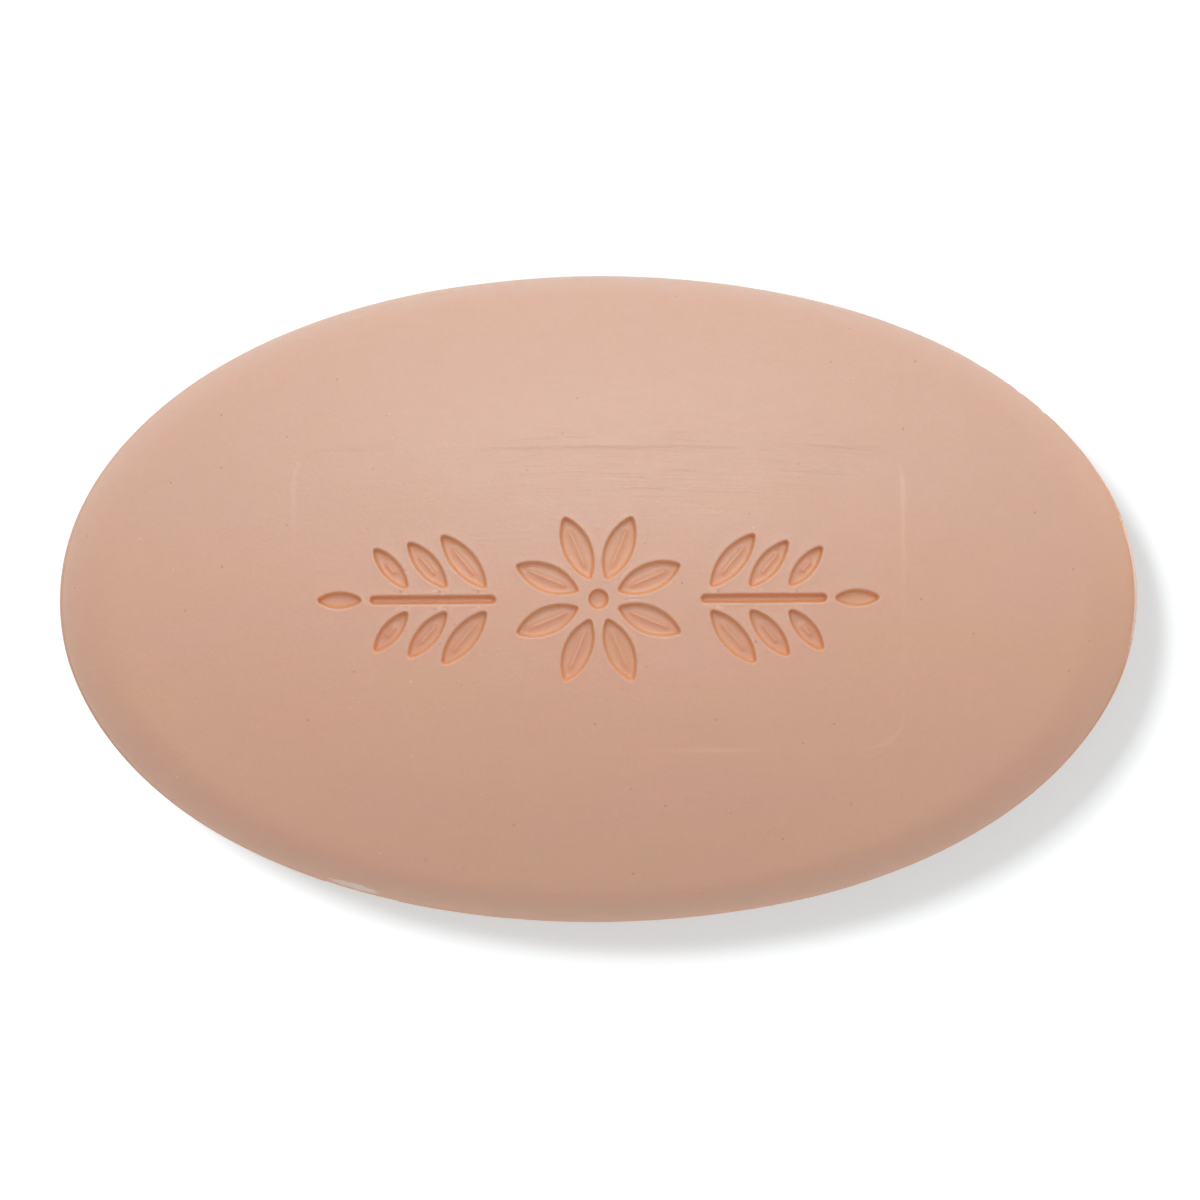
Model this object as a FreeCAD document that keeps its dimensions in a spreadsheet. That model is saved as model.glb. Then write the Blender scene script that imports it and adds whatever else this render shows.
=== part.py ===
import FreeCAD, Part
import os
import Sketcher
from FreeCAD import Placement, Rotation, Vector

# Oval bar of soap, pressed in one piece between two dies.
#
# The bar lies on its belly, its length along X and its width along Y. Z = 0 is the small flat
# of the belly, and X = Y = 0 is the middle of the bar. Until the last step everything is laid
# out from the parting line, the level where the two dies meet, halfway up the bar.
#
# Each die forms one dome: a wide face arc that runs into a tighter shoulder arc. The shoulder
# ends upright at the parting line, where soap squeezed between the dies leaves a small ridge.
# The upper die has a rounded rectangular insert that leaves a slightly sunk panel, and on the
# insert stands the raised ornament that presses the mark: a flower between two sprigs of leaves.

PART_NAME = "soap_bar"

# alias: (value, what it is). Lengths are in millimetres and angles in degrees.
SIZES = {
    "bar_length": (98.0, "over the ridge, end to end"),
    "bar_width": (59.0, "over the ridge, side to side"),
    "bar_thickness": (29.0, "from the belly flat to the crown, before the panel is sunk"),
    "belly_relief": (0.45, "taken off the lower crown by the belly flat"),
    "shoulder_radius": (8.0, "radius of the shoulder, on the long section"),
    "ridge_height": (1.2, "height of the ridge on the parting line"),
    "ridge_proud": (0.35, "how far that ridge stands out at the two ends"),
    "panel_length": (54.0, "length of the panel that the insert leaves"),
    "panel_width": (26.8, "width of that panel"),
    "panel_corner": (3.0, "corner radius of that panel"),
    "panel_depth": (0.08, "how far the panel is sunk"),
    "mark_depth": (0.8, "depth of the pressed mark below the panel"),
    "leaf_tip_radius": (0.3, "rounding of the two tips of every leaf and petal"),
    "eye_diameter": (1.8, "diameter of the round eye of the flower"),
    "petal_count": (8, "petals of the flower"),
    "petal_length": (6.2, "length of a petal"),
    "petal_width": (2.5, "widest part of a petal"),
    "petal_turn": (22.5, "how far the first petal is turned from the length of the bar"),
    "flower_core": (1.75, "from the centre of the flower to the foot of a petal"),
    "sprig_start": (9.0, "from the centre of the bar to the foot of a stem"),
    "stem_length": (11.2, "length of a stem"),
    "stem_width": (0.8, "width of a stem"),
    "leaf_length": (6.4, "length of the first leaf of a sprig"),
    "leaf_width": (2.2, "widest part of that leaf"),
    "leaf_angle": (50.0, "angle between a leaf and its stem"),
    "leaf_shrink": (0.88, "size of each next leaf of a sprig, as a share of the one before"),
    "leaf_foot_inset": (0.8, "from the foot of a stem to the foot of its first leaf"),
    "leaf_land": (0.5, "land between a stem and the foot of a leaf beside it"),
    "nick_length": (7.4, "length of the nick in the ridge"),
    "nick_depth": (0.3, "depth of that nick"),
    "nick_height": (1.4, "height of that nick"),
    "nick_angle": (244.0, "where it is round the blank, from +X towards +Y, before the squeeze"),
}
LEAVES_A_SIDE = 3  # leaves along each side of a stem, before the one at its tip
NEARLY = 1e-6  # lengths closer than this are the same

# Expressions that several features share.
CROWN = "(Sizes.bar_thickness + Sizes.belly_relief) / 2"
HALF_LENGTH = "Sizes.bar_length / 2"
SQUEEZE = "Sizes.bar_width / Sizes.bar_length"
LEAF_PITCH = "(Sizes.stem_length - Sizes.leaf_foot_inset) / %d" % LEAVES_A_SIDE
LEAF_FOOT = "(Sizes.stem_width / 2 + Sizes.leaf_land)"
STEM_END = "(Sizes.sprig_start + Sizes.stem_length)"

doc = FreeCAD.newDocument(PART_NAME)


def make_sheet():
    """The driving sizes, one row each: the alias, its value and what it is."""
    sheet = doc.addObject("Spreadsheet::Sheet", "Sizes")
    for row, (alias, (value, note)) in enumerate(SIZES.items(), start=1):
        sheet.set("A%d" % row, alias)
        sheet.set("B%d" % row, str(value))
        sheet.set("C%d" % row, note)
        sheet.setAlias("B%d" % row, alias)
    doc.recompute()
    return sheet


sheet = make_sheet()


def value_of(expression):
    """The number that an expression on the sheet gives now."""
    found = sheet.evalExpression(expression)
    return float(getattr(found, "Value", found))


def plane_of(body, role):
    return next(f for f in body.Origin.OriginFeatures if f.Role == role)


def make_sketch(body, name, role, height=None):
    """A sketch on one of the body's origin planes, or at a height above it."""
    sketch = body.newObject("Sketcher::SketchObject", name)
    sketch.AttachmentSupport = (plane_of(body, role), [""])
    sketch.MapMode = "FlatFace"
    if height is not None:
        sketch.setExpression("AttachmentOffset.Base.z", height)
    return sketch


def tie(sketch, name, kind, where, expression):
    """A named dimension of the sketch that follows an expression on the sheet."""
    index = sketch.addConstraint(Sketcher.Constraint(kind, *where, value_of(expression)))
    sketch.renameConstraint(index, name)
    sketch.setExpression("Constraints." + name, expression)


def join(sketch, kind, *where):
    sketch.addConstraint(Sketcher.Constraint(kind, *where))


ORIGIN = (-1, 1)  # the sketch's own origin point
ACROSS = -1  # its horizontal axis
UPRIGHT = -2  # its vertical axis
START, END, CENTRE = range(1, 4)  # the points of an arc or a line


def arc(centre, radius, start, end):
    """An arc of a circle, anticlockwise between two points that lie on it."""
    circle = Part.Circle(centre, Vector(0, 0, 1), radius)
    return Part.ArcOfCircle(circle, circle.parameter(start), circle.parameter(end))


def half_section(body):
    """What one die forms, as the half section that is turned about the bar's upright axis."""
    crown = value_of(CROWN)
    rim = value_of(HALF_LENGTH)
    ridge_top = sheet.ridge_height / 2
    side = rim - sheet.ridge_proud
    shoulder = sheet.shoulder_radius
    rise = crown - ridge_top
    face = (side**2 + rise**2 - 2 * side * shoulder) / (2 * (rise - shoulder))
    face_centre = Vector(0, crown - face, 0)
    shoulder_centre = Vector(side - shoulder, ridge_top, 0)
    outward = (shoulder_centre - face_centre).normalize()
    meeting = face_centre + outward * face

    sketch = make_sketch(body, "HalfSection", "YZ_Plane")
    axis, face_arc, shoulder_arc, flank, foot = sketch.addGeometry(
        [
            Part.LineSegment(Vector(0, 0, 0), Vector(0, crown, 0)),
            arc(face_centre, face, meeting, Vector(0, crown, 0)),
            arc(shoulder_centre, shoulder, Vector(side, ridge_top, 0), meeting),
            Part.LineSegment(Vector(side, ridge_top, 0), Vector(rim, 0, 0)),
            Part.LineSegment(Vector(rim, 0, 0), Vector(0, 0, 0)),
        ]
    )
    join(sketch, "Coincident", axis, START, *ORIGIN)
    join(sketch, "Vertical", axis)
    join(sketch, "Coincident", face_arc, END, axis, END)
    join(sketch, "PointOnObject", face_arc, CENTRE, UPRIGHT)
    join(sketch, "Tangent", face_arc, START, shoulder_arc, END)
    join(sketch, "Horizontal", shoulder_arc, CENTRE, shoulder_arc, START)
    join(sketch, "Coincident", shoulder_arc, START, flank, START)
    join(sketch, "Coincident", flank, END, foot, START)
    join(sketch, "Horizontal", foot)
    join(sketch, "Coincident", foot, END, *ORIGIN)
    side_reach = HALF_LENGTH + " - Sizes.ridge_proud"
    tie(sketch, "crown_rise", "DistanceY", (*ORIGIN, axis, END), CROWN)
    tie(sketch, "shoulder", "Radius", (shoulder_arc,), "Sizes.shoulder_radius")
    tie(sketch, "ridge_rise", "DistanceY", (*ORIGIN, flank, START), "Sizes.ridge_height / 2")
    tie(sketch, "side_reach", "DistanceX", (*ORIGIN, flank, START), side_reach)
    tie(sketch, "rim_reach", "DistanceX", (*ORIGIN, foot, START), HALF_LENGTH)
    return sketch


def make_round_blank():
    """The blank before it is squeezed to its width: one die's form, and the same below."""
    body = doc.addObject("PartDesign::Body", "RoundBlank")
    sketch = half_section(body)
    turned = body.newObject("PartDesign::Revolution", "UpperDome")
    turned.Profile = sketch
    turned.ReferenceAxis = (sketch, ["V_Axis"])
    turned.Angle = 360
    both = body.newObject("PartDesign::Mirrored", "BothDomes")
    both.Originals = [turned]
    both.MirrorPlane = (plane_of(body, "XY_Plane"), [""])
    body.Tip = both
    doc.recompute()
    return body


def make_oval(name, round_blank, sunk=None):
    """The round blank squeezed across Y to the bar's width, and lowered by what sunk gives."""
    oval = doc.addObject("Part::Scale", name)
    oval.Base = round_blank
    oval.Uniform = False
    oval.setExpression("YScale", SQUEEZE)
    if sunk:
        oval.setExpression("Placement.Base.z", "-" + sunk)
    return oval


def add_leaf(sketch, name, foot_x, foot_y, length, width, angle):
    """A leaf outline, two equal arcs from its foot to its tip. Each argument is an expression."""
    tip_x = "%s + %s * cos(%s)" % (foot_x, length, angle)
    tip_y = "%s + %s * sin(%s)" % (foot_y, length, angle)
    radius = "((%s)^2 + (%s)^2) / (4 * %s)" % (length, width, width)
    foot = Vector(value_of(foot_x), value_of(foot_y), 0)
    tip = Vector(value_of(tip_x), value_of(tip_y), 0)
    along = (tip - foot).normalize()
    aside = Vector(-along.y, along.x, 0)
    middle = (foot + tip) * 0.5
    back_off = value_of(radius) - value_of(width) / 2
    left, right = sketch.addGeometry(
        [
            arc(middle - aside * back_off, value_of(radius), tip, foot),
            arc(middle + aside * back_off, value_of(radius), foot, tip),
        ]
    )
    join(sketch, "Coincident", left, START, right, END)
    join(sketch, "Coincident", left, END, right, START)
    join(sketch, "Equal", left, right)
    tie(sketch, name + "_bow", "Radius", (left,), radius)
    tie(sketch, name + "_foot_x", "DistanceX", (*ORIGIN, right, START), foot_x)
    tie(sketch, name + "_foot_y", "DistanceY", (*ORIGIN, right, START), foot_y)
    tie(sketch, name + "_tip_x", "DistanceX", (*ORIGIN, right, END), tip_x)
    tie(sketch, name + "_tip_y", "DistanceY", (*ORIGIN, right, END), tip_y)


def add_stem(sketch):
    """A stem along X: two straight sides and two round ends."""
    half = sheet.stem_width / 2
    first = sheet.sprig_start + half
    last = value_of(STEM_END) - half
    top, far_end, bottom, near_end = sketch.addGeometry(
        [
            Part.LineSegment(Vector(first, half, 0), Vector(last, half, 0)),
            arc(Vector(last, 0, 0), half, Vector(last, -half, 0), Vector(last, half, 0)),
            Part.LineSegment(Vector(last, -half, 0), Vector(first, -half, 0)),
            arc(Vector(first, 0, 0), half, Vector(first, half, 0), Vector(first, -half, 0)),
        ]
    )
    join(sketch, "Tangent", top, END, far_end, END)
    join(sketch, "Tangent", far_end, START, bottom, START)
    join(sketch, "Tangent", bottom, END, near_end, END)
    join(sketch, "Tangent", near_end, START, top, START)
    join(sketch, "PointOnObject", near_end, CENTRE, ACROSS)
    join(sketch, "PointOnObject", far_end, CENTRE, ACROSS)
    join(sketch, "Equal", near_end, far_end)
    tie(sketch, "stem_half_width", "Radius", (near_end,), "Sizes.stem_width / 2")
    near = "Sizes.sprig_start + Sizes.stem_width / 2"
    far = STEM_END + " - Sizes.stem_width / 2"
    tie(sketch, "stem_near", "DistanceX", (*ORIGIN, near_end, CENTRE), near)
    tie(sketch, "stem_far", "DistanceX", (*ORIGIN, far_end, CENTRE), far)


def pad_through_face(body, sketch, name):
    """The outlines of a sketch, extruded from inside the bar to well above its crown."""
    pad = body.newObject("PartDesign::Pad", name)
    pad.Profile = sketch
    pad.setExpression("Length", CROWN)
    doc.recompute()
    return pad


def round_uprights(body, prisms, name, radius, keep=lambda edge: True):
    """The upright edges of the prisms that keep allows, rounded to a radius on the sheet."""
    doc.recompute()
    rounded = body.newObject("PartDesign::Fillet", name)
    edges = [
        "Edge%d" % number
        for number, edge in enumerate(prisms.Shape.Edges, start=1)
        if is_upright(edge) and keep(edge)
    ]
    rounded.Base = (prisms, edges)
    rounded.setExpression("Radius", radius)
    body.Tip = rounded


def is_upright(edge):
    ends = [vertex.Point for vertex in edge.Vertexes]
    return len(ends) == 2 and (ends[0] - ends[1]).cross(Vector(0, 0, 1)).Length < NEARLY


def is_leaf_tip(edge):
    """Whether an upright edge isn't one where a stem's side runs into its round end."""
    spot = edge.Vertexes[0].Point
    beside_stem = abs(abs(spot.y) - sheet.stem_width / 2) < NEARLY
    return not (beside_stem and sheet.sprig_start <= abs(spot.x) <= value_of(STEM_END))


def make_petals():
    """The petals, as prisms through the upper face."""
    body = doc.addObject("PartDesign::Body", "PetalPrisms")
    body.AllowCompound = True
    sketch = make_sketch(body, "PetalOutline", "XY_Plane", CROWN + " / 2")
    add_leaf(
        sketch,
        "petal",
        "(Sizes.flower_core * cos(Sizes.petal_turn))",
        "(Sizes.flower_core * sin(Sizes.petal_turn))",
        "Sizes.petal_length",
        "Sizes.petal_width",
        "Sizes.petal_turn",
    )
    petal = pad_through_face(body, sketch, "Petal")
    ring = body.newObject("PartDesign::PolarPattern", "Petals")
    ring.Originals = [petal]
    ring.Axis = (sketch, ["N_Axis"])
    ring.Angle = 360
    ring.setExpression("Occurrences", "Sizes.petal_count")
    body.Tip = ring
    round_uprights(body, ring, "PetalTips", "Sizes.leaf_tip_radius")
    return body


def make_eye():
    """The eye of the flower, as a prism through the upper face."""
    eye = doc.addObject("Part::Cylinder", "EyePrism")
    eye.setExpression("Radius", "Sizes.eye_diameter / 2")
    eye.setExpression("Height", CROWN)
    eye.setExpression("Placement.Base.z", CROWN + " / 2")
    return eye


def leaf_size(number):
    """Length and width of a leaf, where leaf 0 is the first of its sprig."""
    share = "Sizes.leaf_shrink^%d" % number
    return "(Sizes.leaf_length * %s)" % share, "(Sizes.leaf_width * %s)" % share


def make_leaves():
    """The leaves beside both stems, as prisms through the upper face."""
    leaves = doc.addObject("PartDesign::Body", "LeafPrisms")
    leaves.AllowCompound = True
    sketch = make_sketch(leaves, "LeafOutlines", "XY_Plane", CROWN + " / 2")
    for number in range(LEAVES_A_SIDE):
        foot_x = "(Sizes.sprig_start + Sizes.leaf_foot_inset + %d * %s)" % (number, LEAF_PITCH)
        size = leaf_size(number)
        add_leaf(sketch, "leaf%d" % number, foot_x, LEAF_FOOT, *size, "Sizes.leaf_angle")
    pad = pad_through_face(leaves, sketch, "Leaves")
    mirrored = leaves.newObject("PartDesign::MultiTransform", "AllLeaves")
    mirrored.Originals = [pad]
    flips = []
    for name, role in (("AcrossStem", "XZ_Plane"), ("AcrossFlower", "YZ_Plane")):
        flip = leaves.newObject("PartDesign::Mirrored", name)
        flip.MirrorPlane = (plane_of(leaves, role), [""])
        flips.append(flip)
    mirrored.Transformations = flips
    leaves.Tip = mirrored
    round_uprights(leaves, mirrored, "LeafTips", "Sizes.leaf_tip_radius")
    return leaves


def make_stems():
    """Both stems, each with the leaf at its tip, as prisms through the upper face."""
    stems = doc.addObject("PartDesign::Body", "StemPrisms")
    stems.AllowCompound = True
    sketch = make_sketch(stems, "StemOutline", "XY_Plane", CROWN + " / 2")
    add_stem(sketch)
    foot_x = "(%s + Sizes.leaf_land)" % STEM_END
    add_leaf(sketch, "tip_leaf", foot_x, "0", *leaf_size(LEAVES_A_SIDE), "0")
    pad = pad_through_face(stems, sketch, "Stem")
    both = stems.newObject("PartDesign::Mirrored", "BothStems")
    both.Originals = [pad]
    both.MirrorPlane = (plane_of(stems, "YZ_Plane"), [""])
    stems.Tip = both
    round_uprights(stems, both, "StemLeafTips", "Sizes.leaf_tip_radius", is_leaf_tip)
    return stems


def make_panel():
    """The insert's outline, a rectangle with round corners, as a prism through the face."""
    body = doc.addObject("PartDesign::Body", "PanelPrism")
    sketch = make_sketch(body, "PanelOutline", "XY_Plane", CROWN + " / 2")
    half_x, half_y = sheet.panel_length / 2, sheet.panel_width / 2
    around = ((-half_x, -half_y), (half_x, -half_y), (half_x, half_y), (-half_x, half_y))
    corners = [Vector(*corner, 0) for corner in around]
    sides = sketch.addGeometry(
        [Part.LineSegment(a, b) for a, b in zip(corners, corners[1:] + corners[:1])]
    )
    for a, b in zip(sides, sides[1:] + sides[:1]):
        join(sketch, "Coincident", a, END, b, START)
    for side in sides[::2]:
        join(sketch, "Horizontal", side)
    for side in sides[1::2]:
        join(sketch, "Vertical", side)
    join(sketch, "Symmetric", sides[0], START, sides[1], END, *ORIGIN)
    tie(sketch, "panel_long", "DistanceX", (sides[0], START, sides[0], END), "Sizes.panel_length")
    tie(sketch, "panel_wide", "DistanceY", (sides[1], START, sides[1], END), "Sizes.panel_width")
    pad = pad_through_face(body, sketch, "Panel")
    round_uprights(body, pad, "PanelCorners", "Sizes.panel_corner")
    return body


def make_cut(name, base, tool):
    cut = doc.addObject("Part::Cut", name)
    cut.Base = base
    cut.Tool = tool
    return cut


def make_mark_cutter(round_blank):
    """What the ornament pushes in: its prisms, down to a floor that follows the face."""
    prisms = doc.addObject("Part::MultiFuse", "MarkPrisms")
    prisms.Shapes = [make_eye(), make_petals(), make_leaves(), make_stems()]
    floor = make_oval("MarkFloor", round_blank, "(Sizes.panel_depth + Sizes.mark_depth)")
    return make_cut("MarkCutter", prisms, floor)


def make_belly_cutter():
    """All that lies below the belly flat."""
    box = doc.addObject("Part::Box", "BelowBelly")
    box.setExpression("Length", "Sizes.bar_length")
    box.setExpression("Width", "Sizes.bar_width")
    box.setExpression("Height", "Sizes.bar_thickness")
    box.setExpression("Placement.Base.x", "-Sizes.bar_length / 2")
    box.setExpression("Placement.Base.y", "-Sizes.bar_width / 2")
    box.setExpression("Placement.Base.z", "-Sizes.bar_thickness - %s + Sizes.belly_relief" % CROWN)
    return box


def make_nick_cutter():
    """A block that takes the nick out of the ridge, turned square to the rim where it stands."""
    box = doc.addObject("Part::Box", "Nick")
    box.setExpression("Length", "Sizes.nick_depth + Sizes.ridge_proud")
    box.setExpression("Width", "Sizes.nick_length")
    box.setExpression("Height", "Sizes.nick_height")
    rim_x = "%s * cos(Sizes.nick_angle)" % HALF_LENGTH
    rim_y = "Sizes.bar_width / 2 * sin(Sizes.nick_angle)"
    out_x = "Sizes.bar_width * cos(Sizes.nick_angle)"
    out_y = "Sizes.bar_length * sin(Sizes.nick_angle)"
    turn = "atan2(%s; %s)" % (out_y, out_x)
    depth, half = "Sizes.nick_depth", "Sizes.nick_length / 2"
    corner_x = "%s - %s * cos(%s) + %s * sin(%s)" % (rim_x, depth, turn, half, turn)
    corner_y = "%s - %s * sin(%s) - %s * cos(%s)" % (rim_y, depth, turn, half, turn)
    box.Placement = Placement(Vector(), Rotation(Vector(0, 0, 1), sheet.nick_angle))
    box.setExpression("Placement.Rotation.Angle", turn)
    box.setExpression("Placement.Base.x", corner_x)
    box.setExpression("Placement.Base.y", corner_y)
    box.setExpression("Placement.Base.z", "-Sizes.nick_height / 2")
    return box


def make_bar():
    round_blank = make_round_blank()
    blank = make_oval("OvalBlank", round_blank)
    flat = make_cut("FlatBelly", blank, make_belly_cutter())
    panel_floor = make_oval("PanelFloor", round_blank, "Sizes.panel_depth")
    panel = make_cut("PanelCutter", make_panel(), panel_floor)
    sunk = make_cut("SunkPanel", flat, panel)
    marked = make_cut("Marked", sunk, make_mark_cutter(round_blank))
    bar = make_cut("Bar", marked, make_nick_cutter())
    bar.Label = PART_NAME
    bar.setExpression("Placement.Base.z", CROWN + " - Sizes.belly_relief")
    doc.recompute()
    return bar


def check(parts):
    """Stops here if any object failed, or if a part isn't one sound solid."""
    for item in doc.Objects:
        if "Invalid" in item.State or "Error" in item.State:
            raise RuntimeError("%s failed: %s" % (item.Name, item.State))
    for part in parts:
        shape = part.Shape
        if shape.isNull() or not shape.isValid() or len(shape.Solids) != 1:
            raise RuntimeError("%s is not one sound solid" % part.Label)


def export(parts):
    os.makedirs("parts", exist_ok=True)
    for part in parts:
        part.Shape.exportStep("parts/%s.step" % part.Label)
        box = part.Shape.optimalBoundingBox()
        sizes = (box.XLength, box.YLength, box.ZLength, part.Shape.Volume)
        print("%s: %.2f x %.2f x %.2f mm, %.0f mm3" % (part.Label, *sizes))


parts = [make_bar()]
check(parts)
export(parts)
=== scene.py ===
import math
import random

import bmesh
import bpy
from bpy.props import FloatProperty, FloatVectorProperty, IntProperty, PointerProperty
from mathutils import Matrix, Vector, noise
from mathutils.geometry import delaunay_2d_cdt
from mathutils.kdtree import KDTree


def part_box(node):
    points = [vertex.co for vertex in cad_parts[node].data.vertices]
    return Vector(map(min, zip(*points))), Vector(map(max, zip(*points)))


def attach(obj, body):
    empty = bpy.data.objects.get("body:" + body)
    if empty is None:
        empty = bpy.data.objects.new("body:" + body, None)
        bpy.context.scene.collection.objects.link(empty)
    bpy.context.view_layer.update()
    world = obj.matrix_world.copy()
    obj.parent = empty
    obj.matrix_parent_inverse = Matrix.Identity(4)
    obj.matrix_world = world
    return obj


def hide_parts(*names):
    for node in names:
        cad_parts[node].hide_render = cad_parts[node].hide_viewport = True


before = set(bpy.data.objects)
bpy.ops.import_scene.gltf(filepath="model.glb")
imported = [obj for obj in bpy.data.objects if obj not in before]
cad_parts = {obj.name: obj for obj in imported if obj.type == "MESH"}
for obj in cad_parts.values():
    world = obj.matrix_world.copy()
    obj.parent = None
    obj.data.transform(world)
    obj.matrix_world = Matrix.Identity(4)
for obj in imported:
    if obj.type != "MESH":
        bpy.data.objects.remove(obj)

bl_info = {
    "name": "Bar of Soap",
    "version": (1, 0, 0),
    "blender": (4, 5, 0),
    "location": "3D View > Sidebar > Soap",
    "description": "An oval pressed bar of soap with a floral mark, and a plain studio for it",
    "category": "Object",
}

MM = 0.001
NODE = "soap_bar"
LOW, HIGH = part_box(NODE)
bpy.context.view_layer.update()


# Sizes and colours

def length(name, description, millimetres):
    """A size of the object, shown in the scene's own unit."""
    return FloatProperty(
        name=name, description=description, default=millimetres * MM, unit="LENGTH", precision=5
    )


def angle(name, description, degrees):
    return FloatProperty(
        name=name, description=description, default=math.radians(degrees), unit="ROTATION"
    )


def share(name, description, value):
    return FloatProperty(name=name, description=description, default=value, subtype="FACTOR")


def number(name, description, value):
    return FloatProperty(name=name, description=description, default=value)


def count(name, description, value):
    return IntProperty(name=name, description=description, default=value, min=1)


def colour(name, description, red, green, blue):
    return FloatVectorProperty(
        name=name, description=description, default=(red, green, blue), subtype="COLOR"
    )


class SOAP_PG_form(bpy.types.PropertyGroup):
    """Form of the blank"""

    long_way: length("Length", "Over the ridge, end to end", (HIGH.x - LOW.x) / MM)
    wide_way: length("Width", "Over the ridge, side to side", (HIGH.y - LOW.y) / MM)
    height: length("Height", "From the belly flat to the panel's crown", (HIGH.z - LOW.z) / MM)
    belly_relief: length("Belly relief", "Taken off the lower crown by the flat", 0.45)
    shoulder: length("Shoulder", "Radius of the shoulder on the long section", 8.0)
    ridge_height: length("Ridge height", "Height of the ridge on the parting line", 1.2)
    ridge_proud: length("Ridge", "How far the ridge stands out at the ends", 0.35)
    fullness: length("Fullness", "How far the outline bulges between sides and ends", 0.34)
    swell: length("Swell", "Depth of the slow unevenness of the faces", 0.05)
    ripple: length("Ripple", "Depth of the fine unevenness of the faces", 0.006)
    scuff_at: angle("Scuff place", "Where the scuffed rim is, before the squeeze", 244.0)
    scuff_depth: length("Scuff depth", "How much the scuff takes off the shoulder", 0.08)
    scuff_tilt: angle("Scuff tilt", "How far the scuff faces up", 16.0)
    flash_at: angle("Flash place", "Middle of the stretch where the ridge stands out most", 2.0)
    nick_length: length("Nick length", "Length of the nick in the ridge", 7.4)


class SOAP_PG_panel(bpy.types.PropertyGroup):
    """The sunk panel that the die's insert leaves"""

    long_way: length("Length", "Length of the panel", 54.0)
    wide_way: length("Width", "Width of the panel", 26.8)
    corner: length("Corner", "Corner radius of the panel", 3.0)
    depth: length("Depth", "How far the panel is sunk", 0.08)
    step: length("Step", "Width of the step at its edge", 0.5)
    wear: share("Wear", "How much of the step is pressed out again", 0.9)


class SOAP_PG_mark(bpy.types.PropertyGroup):
    """The pressed flower and its two sprigs"""

    depth: length("Depth", "Depth of the mark below the panel", 0.8)
    tip: length("Tip", "Rounding of the tips of leaves and petals", 0.3)
    rib: length("Rib", "Height of the rib along a leaf or petal", 0.24)
    petals: count("Petals", "Petals of the flower", 8)
    petal_length: length("Petal length", "Length of a petal", 6.2)
    petal_width: length("Petal width", "Widest part of a petal", 2.5)
    petal_turn: angle("Petal turn", "Turn of the first petal from the bar's length", 22.5)
    eye: length("Eye", "Diameter of the flower's eye", 1.8)
    core: length("Core", "From the flower's centre to the foot of a petal", 1.75)
    sprig_start: length("Sprig start", "From the centre of the bar to the foot of a stem", 9.0)
    stem_length: length("Stem length", "Length of a stem", 11.2)
    stem_width: length("Stem width", "Width of a stem", 0.8)
    leaves: count("Leaves", "Leaves along each side of a stem", 3)
    leaf_length: length("Leaf length", "Length of the first leaf", 6.4)
    leaf_width: length("Leaf width", "Widest part of the first leaf", 2.2)
    leaf_angle: angle("Leaf angle", "Angle between a leaf and its stem", 50.0)
    leaf_shrink: share("Leaf shrink", "Size of each next leaf as a share of the last", 0.88)
    leaf_inset: length("Leaf inset", "From the foot of a stem to its first leaf", 0.8)
    leaf_land: length("Leaf land", "Land between a stem and a leaf", 0.5)


class SOAP_PG_finish(bpy.types.PropertyGroup):
    """Colour and surface of the soap"""

    body: colour("Body", "Pressed soap", 0.679, 0.398, 0.278)
    # Painted sheen: a paler colour laid over the far side, where the softbox's sheen falls.
    painted_sheen: colour("Bloom", "Drier soap where the die dragged over it", 0.648, 0.414, 0.315)
    rosy: colour("Rosy", "Rosier drifts in the soap", 0.689, 0.388, 0.284)
    # Painted shade: the mark's floor is darker and more orange, for shade and bounced light in the
    # groove.
    sunk: colour("Sunk", "Floor of the mark", 0.67, 0.375, 0.245)
    # Painted shade: a dark orange for the mark's walls, beside the ridge, by the scuff and at the
    # flash.
    painted_orange_shade: colour("Deep", "Soap down the mark's walls, by the scuff and at the flash", 0.80, 0.38, 0.14)
    # Painted light: a lighter, more orange rim, for light through the thin soap and for fill on the
    # near side.
    rim: colour("Rim", "Thin soap along the rim, where light comes through", 0.79, 0.43, 0.285)
    # Partly real, partly painted: scraped soap and chipped flakes are pale, and the same colour paints
    # the highlight on the flash and small highlight dots.
    pale: colour("Pale", "Dry, scraped soap, and pale grains", 0.93, 0.74, 0.66)
    fleck: colour("Fleck", "Dark flecks in the soap", 0.40, 0.19, 0.11)
    glow: share("Glow", "How much light passes under the surface", 0.42)
    reach: length("Reach", "How far that light travels", 1.2)
    gloss: share("Roughness", "Roughness of the pressed face", 0.38)
    shine: share("Shine", "Strength of the reflection at the surface", 0.4)


class SOAP_PG_studio(bpy.types.PropertyGroup):
    """Camera and light"""

    lens: number("Lens", "Focal length in millimetres", 150.0)
    roll: angle("Roll", "Turn of the bar in the picture", 0.31)
    fill_share: share("Fill", "Length of the bar as a share of the picture's width", 1078 / 1200)
    off_x: length("Off centre X", "Bar's centre right of the picture's centre", -0.14)
    off_y: length("Off centre Y", "Bar's centre above the picture's centre", 0.08)
    top_power: number("Overhead", "Power of the panel above the bar, in watts", 1.6)
    box_power: number("Softbox", "Power of the softbox above and behind the bar, in watts", 3.7)
    window_power: number("Window", "Power of the low, wide light behind the bar, in watts", 4.0)
    sky: number("Sky", "Strength of the even light from all around", 0.54)
    floor_power: number("Floor lamp", "Power of the lamp that lights the floor, in watts", 6.5)
    floor_lift: number("Floor lift", "Light that the floor adds to what the camera sees", 0.302)


GROUPS = {
    "soap_form": SOAP_PG_form,
    "soap_panel": SOAP_PG_panel,
    "soap_mark": SOAP_PG_mark,
    "soap_finish": SOAP_PG_finish,
    "soap_studio": SOAP_PG_studio,
}


# Form of the blank

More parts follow.
